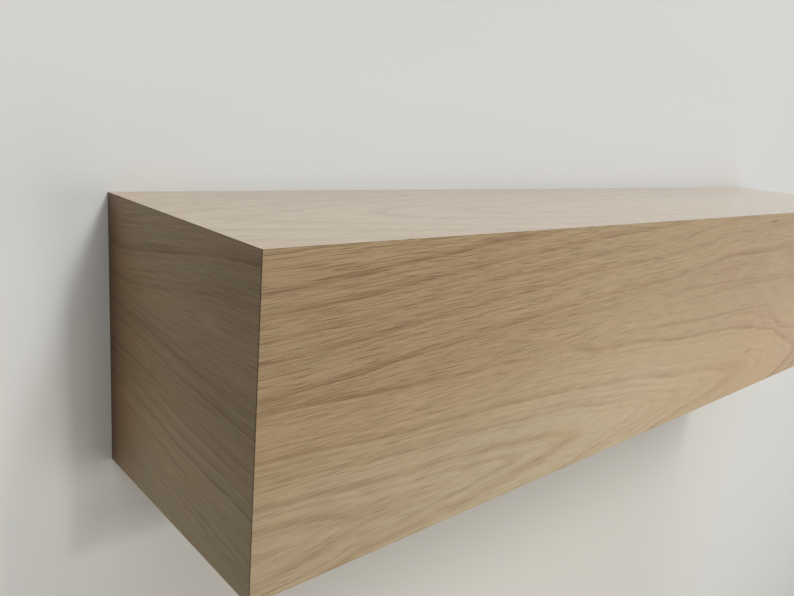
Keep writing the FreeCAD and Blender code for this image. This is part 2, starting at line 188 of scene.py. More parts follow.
def paint(red, green, blue):
    """A linear colour from the 0 to 255 numbers of a paint chart."""
    def linear(level):
        level = level / 255
        return level / 12.92 if level <= 0.04045 else ((level + 0.055) / 1.055) ** 2.4
    return (linear(red), linear(green), linear(blue), 1.0)


def grey(level):
    """A linear grey."""
    return (level, level, level, 1.0)


def new_finish(name):
    """An empty material and its tree."""
    material = bpy.data.materials.new(name)
    material.use_nodes = True
    material.node_tree.nodes.clear()
    return material, Tree(material.node_tree)


def lay_on(tree, colour, roughness, height, relief, constants=None):
    """The shader of a finish. height times relief is its bump in millimetres."""
    bump = tree.add("ShaderNodeBump", None, {"Strength": 1.0, "Distance": relief * MM, "Height": height})
    shader = tree.add("ShaderNodeBsdfPrincipled", None,
                      {"Base Color": colour, "Roughness": roughness, "Normal": bump,
                       **(constants or {})})
    tree.add("ShaderNodeOutputMaterial", None, {"Surface": shader}, output=None)


def place_in_mm(tree):
    """The three object coordinates in millimetres."""
    coordinates = tree.add("ShaderNodeTexCoord", None, None, output="Object")
    split = tree.add("ShaderNodeSeparateXYZ", None, {"Vector": coordinates})
    outputs = split.socket.node.outputs
    return [Value(tree, outputs[axis]) * PER_MM for axis in "XYZ"]


# ---------------------------------------------------------------------------
# Oak veneer

SHELF_LEFT, SHELF_RIGHT = -500.0, 500.0
SHELF_TOP, SHELF_BOTTOM = 107.0, -93.0
SHELF_FRONT = -200.0


def curve(tree, reach, span, stops):
    """A smooth curve through (place, value) stops; reach is a place and span its least and greatest."""
    least, greatest = span
    highest = max(value for _, value in stops)
    marks = [((place - least) / (greatest - least), grey(value / highest)) for place, value in stops]
    share = (reach - least) / (greatest - least)
    return highest * tree.add("ShaderNodeValToRGB", {"stops": ("CARDINAL", *marks)}, {"Fac": share})


def crown_figure(tree, along, across, leaf):
    """Growth lines of a crown-cut leaf, counted outwards from the heart of its arches.

    depth says how far below the leaf the heart of the tree runs, so an arch ends where
    its own line meets that depth. lift is how far the lines above the parting have
    swept up. The second value follows the fibres, which lie straighter than the growth
    lines, and the third tells how far a place lies in the open grain below the swept lines.
    """
    span = leaf["span"]
    depth = curve(tree, along, span, leaf["depth"])
    lift = curve(tree, along, span, leaf["lift"])
    parting = leaf["parting"] - leaf["parting_slope"] * along
    half_gap = 4.0 + 0.56 * lift
    swept = across + lift * tree.step(across - parting, -half_gap, half_gap, 1.0, 0.0)

    seed = leaf["seed"]
    bend = tree.marks(along, 260, across, 70, seed) - 0.5
    wave = tree.marks(along, 95, across, 16, seed + 3, detail=2.0, roughness=0.45) - 0.5
    feather = tree.marks(along, 26, across, 0.9, seed + 5) - 0.5
    aside = tree.math("ABSOLUTE", (swept - leaf["heart"] + leaf["bend"] * bend) / leaf["spacing"])
    pointed = leaf["pointed"]
    count = (aside ** pointed + depth ** pointed) ** (1 / pointed)
    unrest = tree.step(along, span[0], span[0] + 0.75 * (span[1] - span[0]), 0.45, 1.0)
    count = count + leaf["wave"] * unrest * wave + leaf["feather"] * feather

    broad = 24.0 + 1.25 * lift
    drawn = across + 0.35 * lift * tree.step(across - parting, -broad, broad, 1.0, 0.0)
    off_parting = tree.math("ABSOLUTE", across - parting)
    open_grain = tree.step(off_parting, 0.35 * half_gap, half_gap, 1.0, 0.0) * tree.step(lift, 4.0, 20.0)
    return count, drawn, open_grain


def growth_bands(tree, figure, bands):
    """Darkness of the strong growth lines: each starts sharply and fades outwards."""
    most = 12.0
    onset = 0.06
    marks = [(0.0, 0.0)]
    for place, strength, fade in bands:
        marks += [(place - onset, 0.0), (place, strength), (place + fade, 0.0)]
    stops = [(place / most, grey(strength)) for place, strength in marks]
    return tree.add("ShaderNodeValToRGB", {"stops": ("LINEAR", *stops)}, {"Fac": figure / most})


def loose_line(tree, along, across, wander, line):
    """Darkness of one faint growth line that runs along the open grain."""
    start, height, slope, length, strength = line
    half_width = 2.6
    run = along - start
    away = tree.math("ABSOLUTE", across - height - slope * run + wander)
    fades = tree.hump(run, 0.0, 0.35 * length, 0.65 * length, length)
    return strength * fades * tree.step(away, 0.0, half_width, 1.0, 0.0)


def growth_darkness(tree, along, across, figure, open_grain, leaf):
    """How dark the early wood of the rings, the strong growth lines and the loose ones are."""
    seed = leaf["seed"]
    lines = figure * leaf["rings"]
    ring = tree.math("FLOOR", lines)
    weight = tree.noise(tree.vector(ring * 3.7, seed, 0.0), detail=0.0)
    weight = tree.step(weight, 0.3, 0.7, 0.15, 1.0)
    darkest, pale_again = 0.12, 0.8
    early = tree.hump(lines - ring, 0.0, darkest, darkest, pale_again) * weight
    drift = tree.marks(along, 120, across, 24, seed + 11, detail=2.0)
    band = growth_bands(tree, figure, leaf["bands"]) * tree.step(drift, 0.3, 0.6, 0.5, 1.0)
    darkness = tree.math("MAXIMUM", early * leaf["ring_strength"], band) * (1.0 - 0.85 * open_grain)
    wander = 7.0 * (drift - 0.5)
    for line in leaf["loose_lines"]:
        darkness = tree.math("MAXIMUM", darkness, loose_line(tree, along, across, wander, line))
    return darkness


def open_pores(tree, along, drawn, course, stagger, dark_wood, leaf):
    """The open vessels, fine dark dashes along the grain, most of them in the growth lines."""
    seed = leaf["seed"]
    length = leaf["dash_length"]
    dash_place = tree.vector(along / length + stagger, drawn / leaf["dash_pitch"], seed + 29)
    dash = tree.noise(dash_place, detail=0.5, roughness=0.4)
    crowd = tree.marks(along, 110, course, 4, seed + 31) - 0.5
    rarity = leaf["dash_rarity"] - 0.11 * dark_wood - 0.09 * crowd
    vessels = tree.step(dash, rarity, rarity + 0.07)
    fine_pitch = 0.42
    fine_place = tree.vector(along / (0.7 * length) - stagger, drawn / fine_pitch, seed + 37)
    fine_vessels = tree.step(tree.noise(fine_place, detail=0.0), 0.63, 0.72)
    return tree.math("MAXIMUM", vessels, 0.8 * fine_vessels)


def oak_leaf(tree, along, across, leaf, edge_lines):
    """The finish of one leaf of oak veneer.

    along and across are millimetres with and across the grain. edge_lines are the distances
    from the dark lines at the leaf's edges, each with the width over which it shows: the glue
    lines of the mitres, and on an end leaf a painted shadow line where it meets the wall.
    """
    seed = leaf["seed"]
    span = leaf["span"]
    tone = leaf["tone"]
    figure, drawn, open_grain = crown_figure(tree, along, across, leaf)

    # fibres run with the growth lines; out of the crown they lie straight along the leaf
    course = figure * leaf["spacing"]
    stagger = 9.0 * tree.noise(tree.vector(seed, drawn / 1.3, along / 400))
    strand_place = tree.vector(along / 75 + 0.4 * stagger, 0.55 * course + 0.12 * across, seed + 17)
    strand = tree.noise(strand_place, detail=2.0, roughness=0.55) - 0.5
    fibre = tree.marks(along, 70, drawn, 0.55, seed + 19, detail=2.0, roughness=0.6) - 0.5
    cloud = tree.marks(along, 190, across, 38, seed + 23, detail=2.0) - 0.5
    dark_wood = growth_darkness(tree, along, across, figure, open_grain, leaf) * (0.9 + 1.6 * fibre)
    pores = open_pores(tree, along, drawn, course, stagger, dark_wood, leaf)
    pore_depth = curve(tree, along, span, leaf["dash_along"]) * leaf["dash_depth"]
    pore_depth = pore_depth * tree.step(across, 30.0, 150.0, 1.0, 0.62)

    # painted light and shade: brightness by place, mixed with the wood's own changes of tone
    shade = curve(tree, along, span, leaf["light_and_tone_along"])
    shade = shade * curve(tree, across, (-5.0, 205.0), leaf["light_and_tone_across"])
    patch = tree.step(across, 100.0, 150.0) * curve(tree, along, span, leaf["pale_along"])
    pale = 0.45 * tree.step(shade, 0.85, 1.25) + 0.55 * patch
    ruddy = curve(tree, along, span, leaf["ruddy_along"])
    colour = tree.blend(ruddy, tree.blend(pale, tone["warm"], tone["pale"]), tone["ruddy"])
    colour = tree.blend(dark_wood * leaf["contrast"], colour, tone["band"])
    lift = 1.0 + leaf["strand"] * strand + leaf["fibre"] * fibre + leaf["cloud"] * cloud
    colour = tree.scaled(colour, lift * shade)
    colour = tree.blend(pores * pore_depth, colour, tone["vessel"])

    for streak in leaf["streaks"]:
        run = along - streak["along"]
        off_along = run / streak["length"]
        off_across = (across - streak["across"] + 0.02 * run) / streak["width"]
        mark = tree.step(off_along * off_along + off_across * off_across, 0.2, 1.0, streak["depth"], 0.0)
        colour = tree.blend(mark, colour, tone["vessel"])

    # dark lines at the edges: glue lines of the mitres, and on the end leaves the painted shadow line at
    # the wall
    for distance, width in edge_lines:
        line = tree.step(distance, 0.25 * width, width, 0.85, 0.0)
        colour = tree.blend(line, colour, tone["glue"])

    height = 0.25 * fibre - pores - 0.15 * dark_wood
    roughness = 0.34 + 0.12 * pores + 0.06 * cloud
    lay_on(tree, colour, roughness, height, relief=0.04,
           constants={"Coat Weight": leaf["lacquer"], "Coat Roughness": 0.12,
                      "Specular IOR Level": leaf["shine"]})


def oak_tone(red, green, blue):
    """The colours of a leaf; the three shares are of the light that the front's wood gives back."""
    # glue also colours the painted shadow line of an end leaf at the wall
    colours = {"warm": paint(168, 141, 104), "ruddy": paint(174, 138, 99), "pale": paint(170, 150, 119),
               "band": paint(136, 103, 68), "vessel": paint(88, 54, 28), "glue": paint(52, 38, 25)}
    shares = (red, green, blue, 1.0)
    return {name: tuple(share * part for share, part in zip(shares, colour))
            for name, colour in colours.items()}


def even(value, start=0, end=1000):
    """The stops of a curve that keeps one value."""
    return [(start, value), (end, value)]


# What a leaf says. Its places are millimetres: along the grain from the left end or the wall,
# across it from the upper edge or the wall. A list of pairs is a curve, as (place, value).
#   seed, span                what keeps its noises its own, the least and greatest place along it
#   tone, lacquer, shine      its colours, the weight of its coat and the strength of its reflections
#   heart, spacing, pointed   middle line of the arches, millimetres from line to line, sharpness
#   depth, lift               as crown_figure says, in spacings and in millimetres
#   parting, parting_slope    the line above which the growth lines sweep up
#   bend, wave, feather       unrest of the growth lines, from the broadest to the finest
#   bands                     strong lines, as (spacings from the heart, strength, fade)
#   rings, ring_strength      faint lines in each spacing, and how dark they are
#   loose_lines               lines in the open grain, as (start, height, slope, length, strength)
#   contrast                  strength of all these lines
#   strand, fibre, cloud      strengths of the broad fibres, the fine fibres and the clouds
#   dash_length, dash_pitch   length of the pores, and millimetres from pore to pore
#   dash_rarity, dash_depth   how few of them there are, and how dark they are
#   the curves                light_and_tone: painted light and shade with the wood's own tone; pale, ruddy: colours; dash: pores
#   streaks                   the few short dark streaks

FRONT_LEAF = {
    "seed": 2.0, "span": (0.0, 1000.0),
    "tone": oak_tone(1.035, 1.06, 1.08), "lacquer": 0.15, "shine": 0.5,
    "heart": 172.0, "spacing": 15.0, "rings": 3.75, "pointed": 1.5,
    "bend": 5.0, "wave": 0.40, "feather": 0.10,
    "depth": [(0, 0.2), (70, 1.0), (290, 2.0), (430, 3.0), (623, 4.0), (700, 5.0), (1000, 8.0)],
    "lift": [(0, 0), (83, 10), (167, 20), (283, 34), (433, 51), (500, 65), (660, 85), (1000, 120)],
    "parting": 84.0, "parting_slope": 0.008,
    "bands": [(1.0, 0.62, 0.5), (2.0, 0.66, 0.35), (2.93, 0.5, 0.35), (3.8, 0.66, 0.4),
              (5.67, 1.0, 0.28), (6.13, 0.9, 0.4), (7.47, 0.7, 0.3), (8.27, 0.6, 0.4), (9.13, 0.8, 0.4),
              (10.0, 0.8, 0.4)],
    "loose_lines": [(330, 62, 0.02, 420, 0.55), (360, 78, -0.02, 380, 0.45), (300, 92, 0.03, 420, 0.60),
                    (430, 70, 0.01, 330, 0.50)],
    "light_and_tone_along": [(0, 0.90), (100, 0.97), (190, 1.02), (310, 1.12), (470, 1.15), (600, 1.11),
                    (1000, 1.10)],
    "light_and_tone_across": [(0, 0.92), (30, 0.93), (85, 0.96), (145, 1.10), (200, 1.12)],
    "ring_strength": 0.40, "contrast": 0.75, "strand": 0.20, "fibre": 0.27, "cloud": 0.10,
    "dash_length": 26.0, "dash_pitch": 0.45, "dash_rarity": 0.605, "dash_depth": 0.72,
    "ruddy_along": [(0, 0.01), (330, 0.01), (600, 0.28), (1000, 0.40)],
    "dash_along": [(0, 1.0), (200, 0.9), (420, 0.55), (1000, 0.4)],
    "pale_along": [(0, 1.0), (60, 1.1), (380, 1.1), (600, 0.0), (1000, 0.2)],
    "streaks": [
        {"along": 621.0, "across": 7.7, "length": 14.0, "width": 0.9, "depth": 0.8},
        {"along": 625.0, "across": 152.7, "length": 11.0, "width": 0.9, "depth": 0.55},
    ],
}

TOP_LEAF = {
    # painted light: the top's colours are raised above the front's so that it shows brighter
    **FRONT_LEAF, "seed": 41.0, "tone": oak_tone(1.185, 1.215, 1.17), "lacquer": 1.0,
    "light_and_tone_along": even(1.0), "light_and_tone_across": even(1.0, 0, 200), "ruddy_along": even(0.1),
    "pale_along": even(0.5), "dash_along": even(1.0), "streaks": [], "loose_lines": [],
    "depth": [(0, 5.6), (150, 4.0), (235, 3.0), (420, 2.0), (640, 1.2), (1000, 0.4)],
    "heart": 118.0, "spacing": 17.0, "parting": 40.0,
    "lift": [(0, 0), (500, 8), (1000, 20)],
    "bands": [(2.0, 0.5, 0.4), (3.0, 0.7, 0.4), (4.0, 0.8, 0.4), (5.2, 0.6, 0.4), (6.1, 0.7, 0.4),
              (7.2, 0.6, 0.4), (8.3, 0.6, 0.4)],
    "contrast": 0.80, "dash_depth": 0.8,
}

END_LEAF = {
    **FRONT_LEAF, "seed": 67.0, "streaks": [], "loose_lines": [], "span": (-20.0, 240.0),
    # painted shade: the end's colours are darkened to about seven tenths of the front's because this end
    # stands in shade
    "tone": oak_tone(0.735, 0.74, 0.685), "lacquer": 0.03, "shine": 0.2,
    # light_and_tone_along paints shade on the end: darker towards the wall, half as bright at it, with
    # painted light further out; ruddy_along makes the same strip redder
    "light_and_tone_along": [(-20, 0.5), (0, 0.6), (15, 0.88), (45, 1.12), (125, 1.04), (200, 0.94), (240, 0.92)],
    "dash_along": even(1.0, -20, 240), "pale_along": even(0.5, -20, 240),
    "light_and_tone_across": [(0, 0.96), (90, 0.99), (150, 1.12), (200, 1.15)],
    "depth": [(-20, 0.1), (0, 0.3), (100, 1.8), (200, 2.45), (240, 2.7)],
    "heart": 205.0, "spacing": 16.0, "parting": 62.0,
    "lift": [(-20, 0), (53, 8), (133, 28), (200, 38), (240, 44)],
    "bands": [(4.02, 0.5, 0.3), (4.86, 0.7, 0.3), (5.41, 0.6, 0.25), (5.92, 0.7, 0.2), (6.35, 0.8, 0.3),
              (7.52, 0.7, 0.3), (8.22, 0.6, 0.3), (9.3, 0.5, 0.4), (10.7, 0.8, 0.4)],
    "contrast": 1.0, "strand": 0.54, "cloud": 0.36, "dash_depth": 0.32,
    "ruddy_along": [(-20, 1.0), (18, 1.0), (58, 0.0), (240, 0.0)],
}

RIGHT_END_LEAF = {
    **END_LEAF, "seed": 83.0, "heart": 30.0, "tone": oak_tone(1.0, 1.0, 1.0),
    "lacquer": 0.15, "shine": 0.5,
    "light_and_tone_along": even(1.0, -20, 240), "light_and_tone_across": even(1.0, 0, 200),
    "contrast": 0.8, "dash_depth": 0.5, "strand": 0.26, "cloud": 0.14,
    "ruddy_along": even(0.1, -20, 240),
}

BOTTOM_LEAF = {
    **FRONT_LEAF, "seed": 97.0,
    "light_and_tone_along": even(1.0), "light_and_tone_across": even(1.0, 0, 200), "ruddy_along": even(0.1),
    "pale_along": even(0.5), "dash_along": even(1.0), "streaks": [], "loose_lines": [],
    "depth": [(0, 6.0), (160, 4.4), (330, 3.2), (520, 2.3), (760, 1.2), (1000, 0.5)],
    "heart": 84.0, "lift": [(0, 0), (500, 10), (1000, 24)],
}


def front_oak():
    """The front leaf, whose grain runs from the left end."""
    material, tree = new_finish("oak_front")
    x, y, z = place_in_mm(tree)
    inward = y - SHELF_FRONT
    edge_lines = [
        (x - SHELF_LEFT - inward, 0.25),
        (SHELF_RIGHT - x - inward, 0.25),
        (SHELF_TOP - z - inward, 0.30),
        (z - SHELF_BOTTOM - inward, 0.25),
    ]
    oak_leaf(tree, x - SHELF_LEFT, SHELF_TOP - z, FRONT_LEAF, edge_lines)
    return material


def flat_oak(name, leaf, level, upwards):
    """The top or the bottom leaf; level is the height of its shown face."""
    material, tree = new_finish(name)
    x, y, z = place_in_mm(tree)
    inward = (level - z) * upwards
    edge_lines = [
        (x - SHELF_LEFT - inward, 0.2),
        (SHELF_RIGHT - x - inward, 0.25),
        (y - SHELF_FRONT - inward, 0.2),
    ]
    oak_leaf(tree, x - SHELF_LEFT, -y, leaf, edge_lines)
    return material


def end_oak(name, leaf, side):
    """The left (side -1) or the right (side 1) end leaf."""
    material, tree = new_finish(name)
    x, y, z = place_in_mm(tree)
    inward = SHELF_RIGHT - x * side
    edge_lines = [
        (y - SHELF_FRONT - inward, 0.9),
        (SHELF_TOP - z - inward, 0.7),
        (z - SHELF_BOTTOM - inward, 0.3),
        # painted shadow line where the end meets the wall, in the glue colour
        (-y, 1.1),
    ]
    oak_leaf(tree, -y, SHELF_TOP - z, leaf, edge_lines)
    return material


# ---------------------------------------------------------------------------
# Plywood, pine, beech, steel and felt


def plywood(name, axis, start, thickness, grain, seed):
    """Raw birch plywood whose plies lie one on another along axis, 0, 1 or 2 for X, Y or Z.

    start is where the first ply begins and grain is the axis of the outer plies' fibres.
    The number of plies is odd, so both faces show fibres that run along the grain.
    """
    usual_ply = 1.4
    layers = 2 * round((thickness / usual_ply - 1) / 2) + 1
    material, tree = new_finish(name)
    place = place_in_mm(tree)
    run = place[grain]
    side = place[3 - axis - grain]
    wobble = tree.marks(run, 60, side, 60, seed) - 0.5
    climb = (place[axis] - start) * (layers / thickness)
    climb = climb + 0.10 * wobble * tree.hump(climb, 0.2, 1.0, layers - 1.0, layers - 0.2)
    ply = tree.math("MINIMUM", tree.math("MAXIMUM", tree.math("FLOOR", climb), 0.0), layers - 1.0)
    odd = tree.math("MODULO", ply, 2.0)

    long_fibre = tree.marks(run, 45, side, 1.1, ply * 7.3 + seed, detail=3.0, roughness=0.6)
    cross_fibre = tree.marks(run, 1.1, side, 45, ply * 7.3 + seed, detail=3.0, roughness=0.6)
    fibre = long_fibre * (1 - odd) + cross_fibre * odd - 0.5
    figure = tree.marks(run, 260, side, 34, seed + 5, detail=3.0, roughness=0.55, distortion=0.6)
    contour = tree.hump(tree.part_of(figure * 9.0), 0.0, 0.5, 0.5, 1.0)
    speck = tree.specks(place, 0.5)
    glue = tree.step(tree.math("ABSOLUTE", climb - ply - 0.5), 0.40, 0.49)
    glue = glue * tree.hump(climb, 0.3, 0.7, layers - 0.7, layers - 0.3)

    colour = tree.blend(odd * 0.85, paint(216, 198, 168), paint(172, 142, 106))
    colour = tree.blend(contour * 0.22 * (1 - odd), colour, paint(192, 164, 126))
    colour = tree.scaled(colour, 1.0 + 0.28 * fibre + 0.12 * (speck - 0.5))
    colour = tree.blend(glue * 0.75, colour, paint(104, 74, 48))
    pores = tree.step(fibre, 0.14, 0.24)
    height = 0.6 * fibre - 0.5 * pores - 0.5 * glue
    lay_on(tree, colour, 0.62 + 0.2 * fibre, height, relief=0.12)
    return material


def pine():
    """Planed pine of the glue blocks, its growth lines running along X."""
    material, tree = new_finish("pine_planed")
    place = place_in_mm(tree)
    _, y, z = place
    ring_width = 3.4
    wander = tree.specks(place, (90, 30, 30), detail=2.0) - 0.5
    within = tree.part_of((y + 0.7 * z) / ring_width + 2.2 * wander)
    late = tree.hump(within, 0.1, 0.85, 0.88, 1.0)
    fibre = tree.specks(place, (30, 0.8, 0.8), detail=2.0) - 0.5
    colour = tree.blend(late * 0.8, paint(226, 196, 148), paint(186, 132, 78))
    colour = tree.scaled(colour, 1.0 + 0.3 * fibre)
    lay_on(tree, colour, 0.6 + 0.15 * fibre, fibre, relief=0.1)
    return material


def pressed_beech():
    """Pressed beech of the biscuits, with its short ray flecks and a rolled grid."""
    material, tree = new_finish("beech_pressed")
    place = place_in_mm(tree)
    x, y, z = place
    mottle = tree.specks(place, 9, detail=3.0) - 0.5
    rays = tree.step(tree.specks(place, (1.6, 0.5, 0.5), detail=2.0), 0.58, 0.68)
    colour = tree.blend(rays * 0.7, paint(206, 164, 118), paint(150, 104, 66))
    colour = tree.scaled(colour, 1.0 + 0.35 * mottle)
    per_line = 3.1
    grid = tree.math("SINE", x * per_line) * tree.math("SINE", (y + z) * per_line)
    lay_on(tree, colour, 0.65 + 0.2 * mottle, 0.6 * grid - 0.4 * rays, relief=0.1)
    return material


def yellow_zinc():
    """Yellow zinc plate of the screws, duller where a driver has turned them."""
    material, tree = new_finish("zinc_yellow")
    place = place_in_mm(tree)
    bloom = tree.specks(place, 2.2, detail=3.0)
    scuff = tree.step(tree.specks(place, 0.35, detail=2.0), 0.52, 0.66)
    colour = tree.blend(bloom, paint(226, 204, 142), paint(216, 206, 184))
    colour = tree.blend(scuff * 0.4, colour, paint(178, 158, 116))
    lay_on(tree, colour, 0.26 + 0.2 * bloom + 0.15 * scuff, bloom - 0.5 * scuff, relief=0.02,
           constants={"Metallic": 1.0})
    return material


def pressed_felt():
    """Grey-brown pressed wool felt with loose fibres."""
    material, tree = new_finish("felt_wool")
    place = place_in_mm(tree)
    mat = tree.specks(place, 0.45, detail=4.0, roughness=0.7, distortion=1.2)
    hairs = tree.specks(place, (0.22, 0.9, 1.6), detail=2.0, roughness=0.6, distortion=1.8)
    loose = tree.step(hairs, 0.56, 0.66)
    colour = tree.blend(mat, paint(74, 70, 64), paint(128, 120, 108))
    colour = tree.blend(loose * 0.55, colour, paint(176, 168, 154))
    lay_on(tree, colour, 0.95 - 0.05 * mat, mat + 0.4 * loose, relief=0.25,
           constants={"Sheen Weight": 0.5, "Sheen Roughness": 0.5})
    return material


# ---------------------------------------------------------------------------
# Screws and felt pads, set in rows by Geometry Nodes

REAR_FACE = -0.002
RIB_PITCH = 0.25
SCREW_COLUMNS = 3
RAIL_SCREW_LEVEL, RAIL_SCREW_RISE = 0.0625, 0.016
BATTEN_SCREW_LEVEL = -0.065
HEAD_RADIUS, SHANK_RADIUS, CORE_RADIUS = 0.004, 0.002, 0.00135
HEAD_RIM = 0.0003
SCREW_LENGTH, POINT_LENGTH = 0.050, 0.008
THREAD_PITCH = 0.0019
SMOOTH_SHANK_END = 0.016
PAD_RADIUS, PAD_THICKNESS = 0.008, 0.002
PAD_COLUMNS, PAD_LEVEL = 4, -0.065


def mesh_object(name, shape):
    """A new object from a bmesh, which is freed."""
    mesh = bpy.data.meshes.new(name)
    shape.to_mesh(mesh)
    shape.free()
    made = bpy.data.objects.new(name, mesh)
    bpy.context.scene.collection.objects.link(made)
    return made


def turned(name, rings, segments, radius_at):
    """A closed turning about the Y axis. rings are distances along -Y, radius_at(distance, angle)."""
    shape = bmesh.new()
    loops = []
    for distance in rings:
        loop = []
        for index in range(segments):
            angle = 2 * math.pi * index / segments
            radius = radius_at(distance, angle)
            loop.append(shape.verts.new((radius * math.cos(angle), -distance, radius * math.sin(angle))))
        loops.append(loop)
    for loop, following in zip(loops, loops[1:]):
        for index in range(segments):
            beside = (index + 1) % segments
            shape.faces.new((loop[index], loop[beside], following[beside], following[index]))
    for loop, distance in ((loops[0], rings[0]), (loops[-1], rings[-1])):
        centre = shape.verts.new((0.0, -distance, 0.0))
        for index in range(segments):
            shape.faces.new((loop[index], loop[(index + 1) % segments], centre))
    bmesh.ops.recalc_face_normals(shape, faces=shape.faces)
    return mesh_object(name, shape)


def thread_radius(distance, angle):
    """The radius of the screw at a distance below its head's face.

    neck and smooth are shares of the shank's radius, crest_reach is a share of the pitch.
    """
    neck = 0.92
    smooth = 0.86
    crest_reach = 0.22
    tip_radius = 0.00008
    cone = HEAD_RADIUS - max(0.0, distance - HEAD_RIM)
    if cone > SHANK_RADIUS * neck:
        return cone
    if distance < SMOOTH_SHANK_END:
        return SHANK_RADIUS * smooth
    turn = (distance / THREAD_PITCH - angle / (2 * math.pi)) % 1.0
    crest = max(0.0, 1.0 - abs(turn - 0.5) / crest_reach)
    left = SCREW_LENGTH - distance
    taper = min(1.0, max(0.0, left / POINT_LENGTH))
    run_in = min(1.0, (distance - SMOOTH_SHANK_END) / THREAD_PITCH)
    core = CORE_RADIUS * taper ** 0.8
    return max(tip_radius, core + (SHANK_RADIUS - CORE_RADIUS) * crest * run_in * taper ** 0.4)


def cross_driver():
    """The cutter of the cross recess: two crossed bars that narrow towards the bottom."""
    reach = 0.0023
    half_bar = 0.00045
    sink = 0.0019
    above_head = 0.0002
    flare, foot = 1.06, 0.35
    outline = [(reach, half_bar), (half_bar, half_bar), (half_bar, reach),
               (-half_bar, reach), (-half_bar, half_bar), (-reach, half_bar),
               (-reach, -half_bar), (-half_bar, -half_bar), (-half_bar, -reach),
               (half_bar, -reach), (half_bar, -half_bar), (reach, -half_bar)]
    shape = bmesh.new()
    above = [shape.verts.new((x * flare, above_head, z * flare)) for x, z in outline]
    below = [shape.verts.new((x * foot, -sink, z * foot)) for x, z in outline]
    shape.faces.new(above)
    shape.faces.new(below)
    for index in range(len(outline)):
        beside = (index + 1) % len(outline)
        shape.faces.new((above[index], above[beside], below[beside], below[index]))
    bmesh.ops.recalc_face_normals(shape, faces=shape.faces)
    return mesh_object("driver", shape)


def wood_screw():
    """A countersunk screw with its head flush at the origin, pointing along -Y."""
    rings_per_turn = 8
    segments = 28
    head_depth = HEAD_RADIUS - SHANK_RADIUS
    under_rim = 0.0012
    past_head = 0.0007
    before_thread = 0.0001
    least_point = 0.0002
    rings = [0.0, HEAD_RIM, under_rim, head_depth + HEAD_RIM, head_depth + past_head,
             SMOOTH_SHANK_END - before_thread]
    place = SMOOTH_SHANK_END
    while place < SCREW_LENGTH - least_point:
        rings.append(place)
        place += THREAD_PITCH / rings_per_turn
    rings.append(SCREW_LENGTH)
    screw = turned("screw", rings, segments, thread_radius)

    driver = cross_driver()
    recess = screw.modifiers.new("recess", "BOOLEAN")
    recess.operation = "DIFFERENCE"
    recess.object = driver
    settle(screw)
    bpy.data.objects.remove(driver)
    return screw


def settle(made):
    """Replaces an object's mesh by what its modifiers make of it."""
    view = bpy.context.evaluated_depsgraph_get()
    mesh = bpy.data.meshes.new_from_object(made.evaluated_get(view), depsgraph=view)
    made.modifiers.clear()
    made.data = mesh


def felt_pad():
    """One felt disc, its back at the origin's plane, with a soft uneven rim."""
    rim = 0.0005
    unevenness = 0.00018
    lumps_round, lumps_deep = 9, 2600
    segments = 72
    steps = 6
    rings = [rim * (1 - math.cos(math.pi / 2 * index / steps)) for index in range(steps + 1)]
    middle = PAD_THICKNESS * 0.5
    rings = [*rings, middle, *(PAD_THICKNESS - ring for ring in reversed(rings))]

    def radius_at(distance, angle):
        near = min(distance, PAD_THICKNESS - distance)
        rounded = rim - math.sqrt(max(0.0, rim * rim - (rim - min(near, rim)) ** 2))
        spot = Vector((math.cos(angle) * lumps_round, math.sin(angle) * lumps_round,
                       distance * lumps_deep))
        return PAD_RADIUS - rounded - unevenness * (0.5 + 0.5 * noise.noise(spot))

    return turned("pad", rings, segments, radius_at)


def row_tree():
    """Geometry Nodes that set a part in rows and columns on a plane of one Y.

    Each part is turned about Y by a random angle from nothing to Turn.
    """
    group = bpy.data.node_groups.new("set_in_rows", "GeometryNodeTree")
    group.interface.new_socket("Rows", in_out="OUTPUT", socket_type="NodeSocketGeometry")
    kinds = {"Part": "Object", "Columns": "Int", "Pitch": "Float", "Rows": "Int", "Rise": "Float",
             "Start": "Vector", "Turn": "Float", "Seed": "Int"}
    for name, kind in kinds.items():
        group.interface.new_socket(name, in_out="INPUT", socket_type="NodeSocket" + kind)
    tree = Tree(group)
    start_node = tree.nodes.new("NodeGroupInput")
    given = {name: Value(tree, start_node.outputs[name]) for name in kinds}
    across = tree.add("ShaderNodeCombineXYZ", None, {"X": given["Pitch"]})
    upward = tree.add("ShaderNodeCombineXYZ", None, {"Z": given["Rise"]})
    columns = tree.add("GeometryNodeMeshLine", None,
                       {"Count": given["Columns"], "Start Location": given["Start"], "Offset": across})
    rows = tree.add("GeometryNodeMeshLine", None, {"Count": given["Rows"], "Offset": upward})
    grid = tree.add("GeometryNodeInstanceOnPoints", None, {"Points": columns, "Instance": rows})
    grid = tree.add("GeometryNodeRealizeInstances", None, {"Geometry": grid})
    part = tree.add("GeometryNodeObjectInfo", None, {"Object": given["Part"]}, output="Geometry")
    least_socket, most_socket, number = 2, 3, 1
    angle = tree.add("FunctionNodeRandomValue", {"data_type": "FLOAT"},
                     {least_socket: 0.0, most_socket: given["Turn"], "Seed": given["Seed"]},
                     output=number)
    spin = tree.add("ShaderNodeCombineXYZ", None, {"Y": angle})
    placed = tree.add("GeometryNodeInstanceOnPoints", None,
                      {"Points": grid, "Instance": part, "Rotation": spin})
    placed = tree.add("GeometryNodeRealizeInstances", None, {"Geometry": placed})
    end = tree.nodes.new("NodeGroupOutput")
    tree.links.new(placed.socket, end.inputs["Rows"])
    return group


def set_in_rows(name, group, inputs, finish):
    """A piece made by the row tree, as a plain mesh at the origin."""
    made = mesh_object(name, bmesh.new())
    modifier = made.modifiers.new("rows", "NODES")
    modifier.node_group = group
    for item in group.interface.items_tree:
        if item.in_out == "INPUT":
            modifier[item.identifier] = inputs[item.name]
    settle(made)
    made.data.materials.clear()
    made.data.materials.append(finish)
    return made


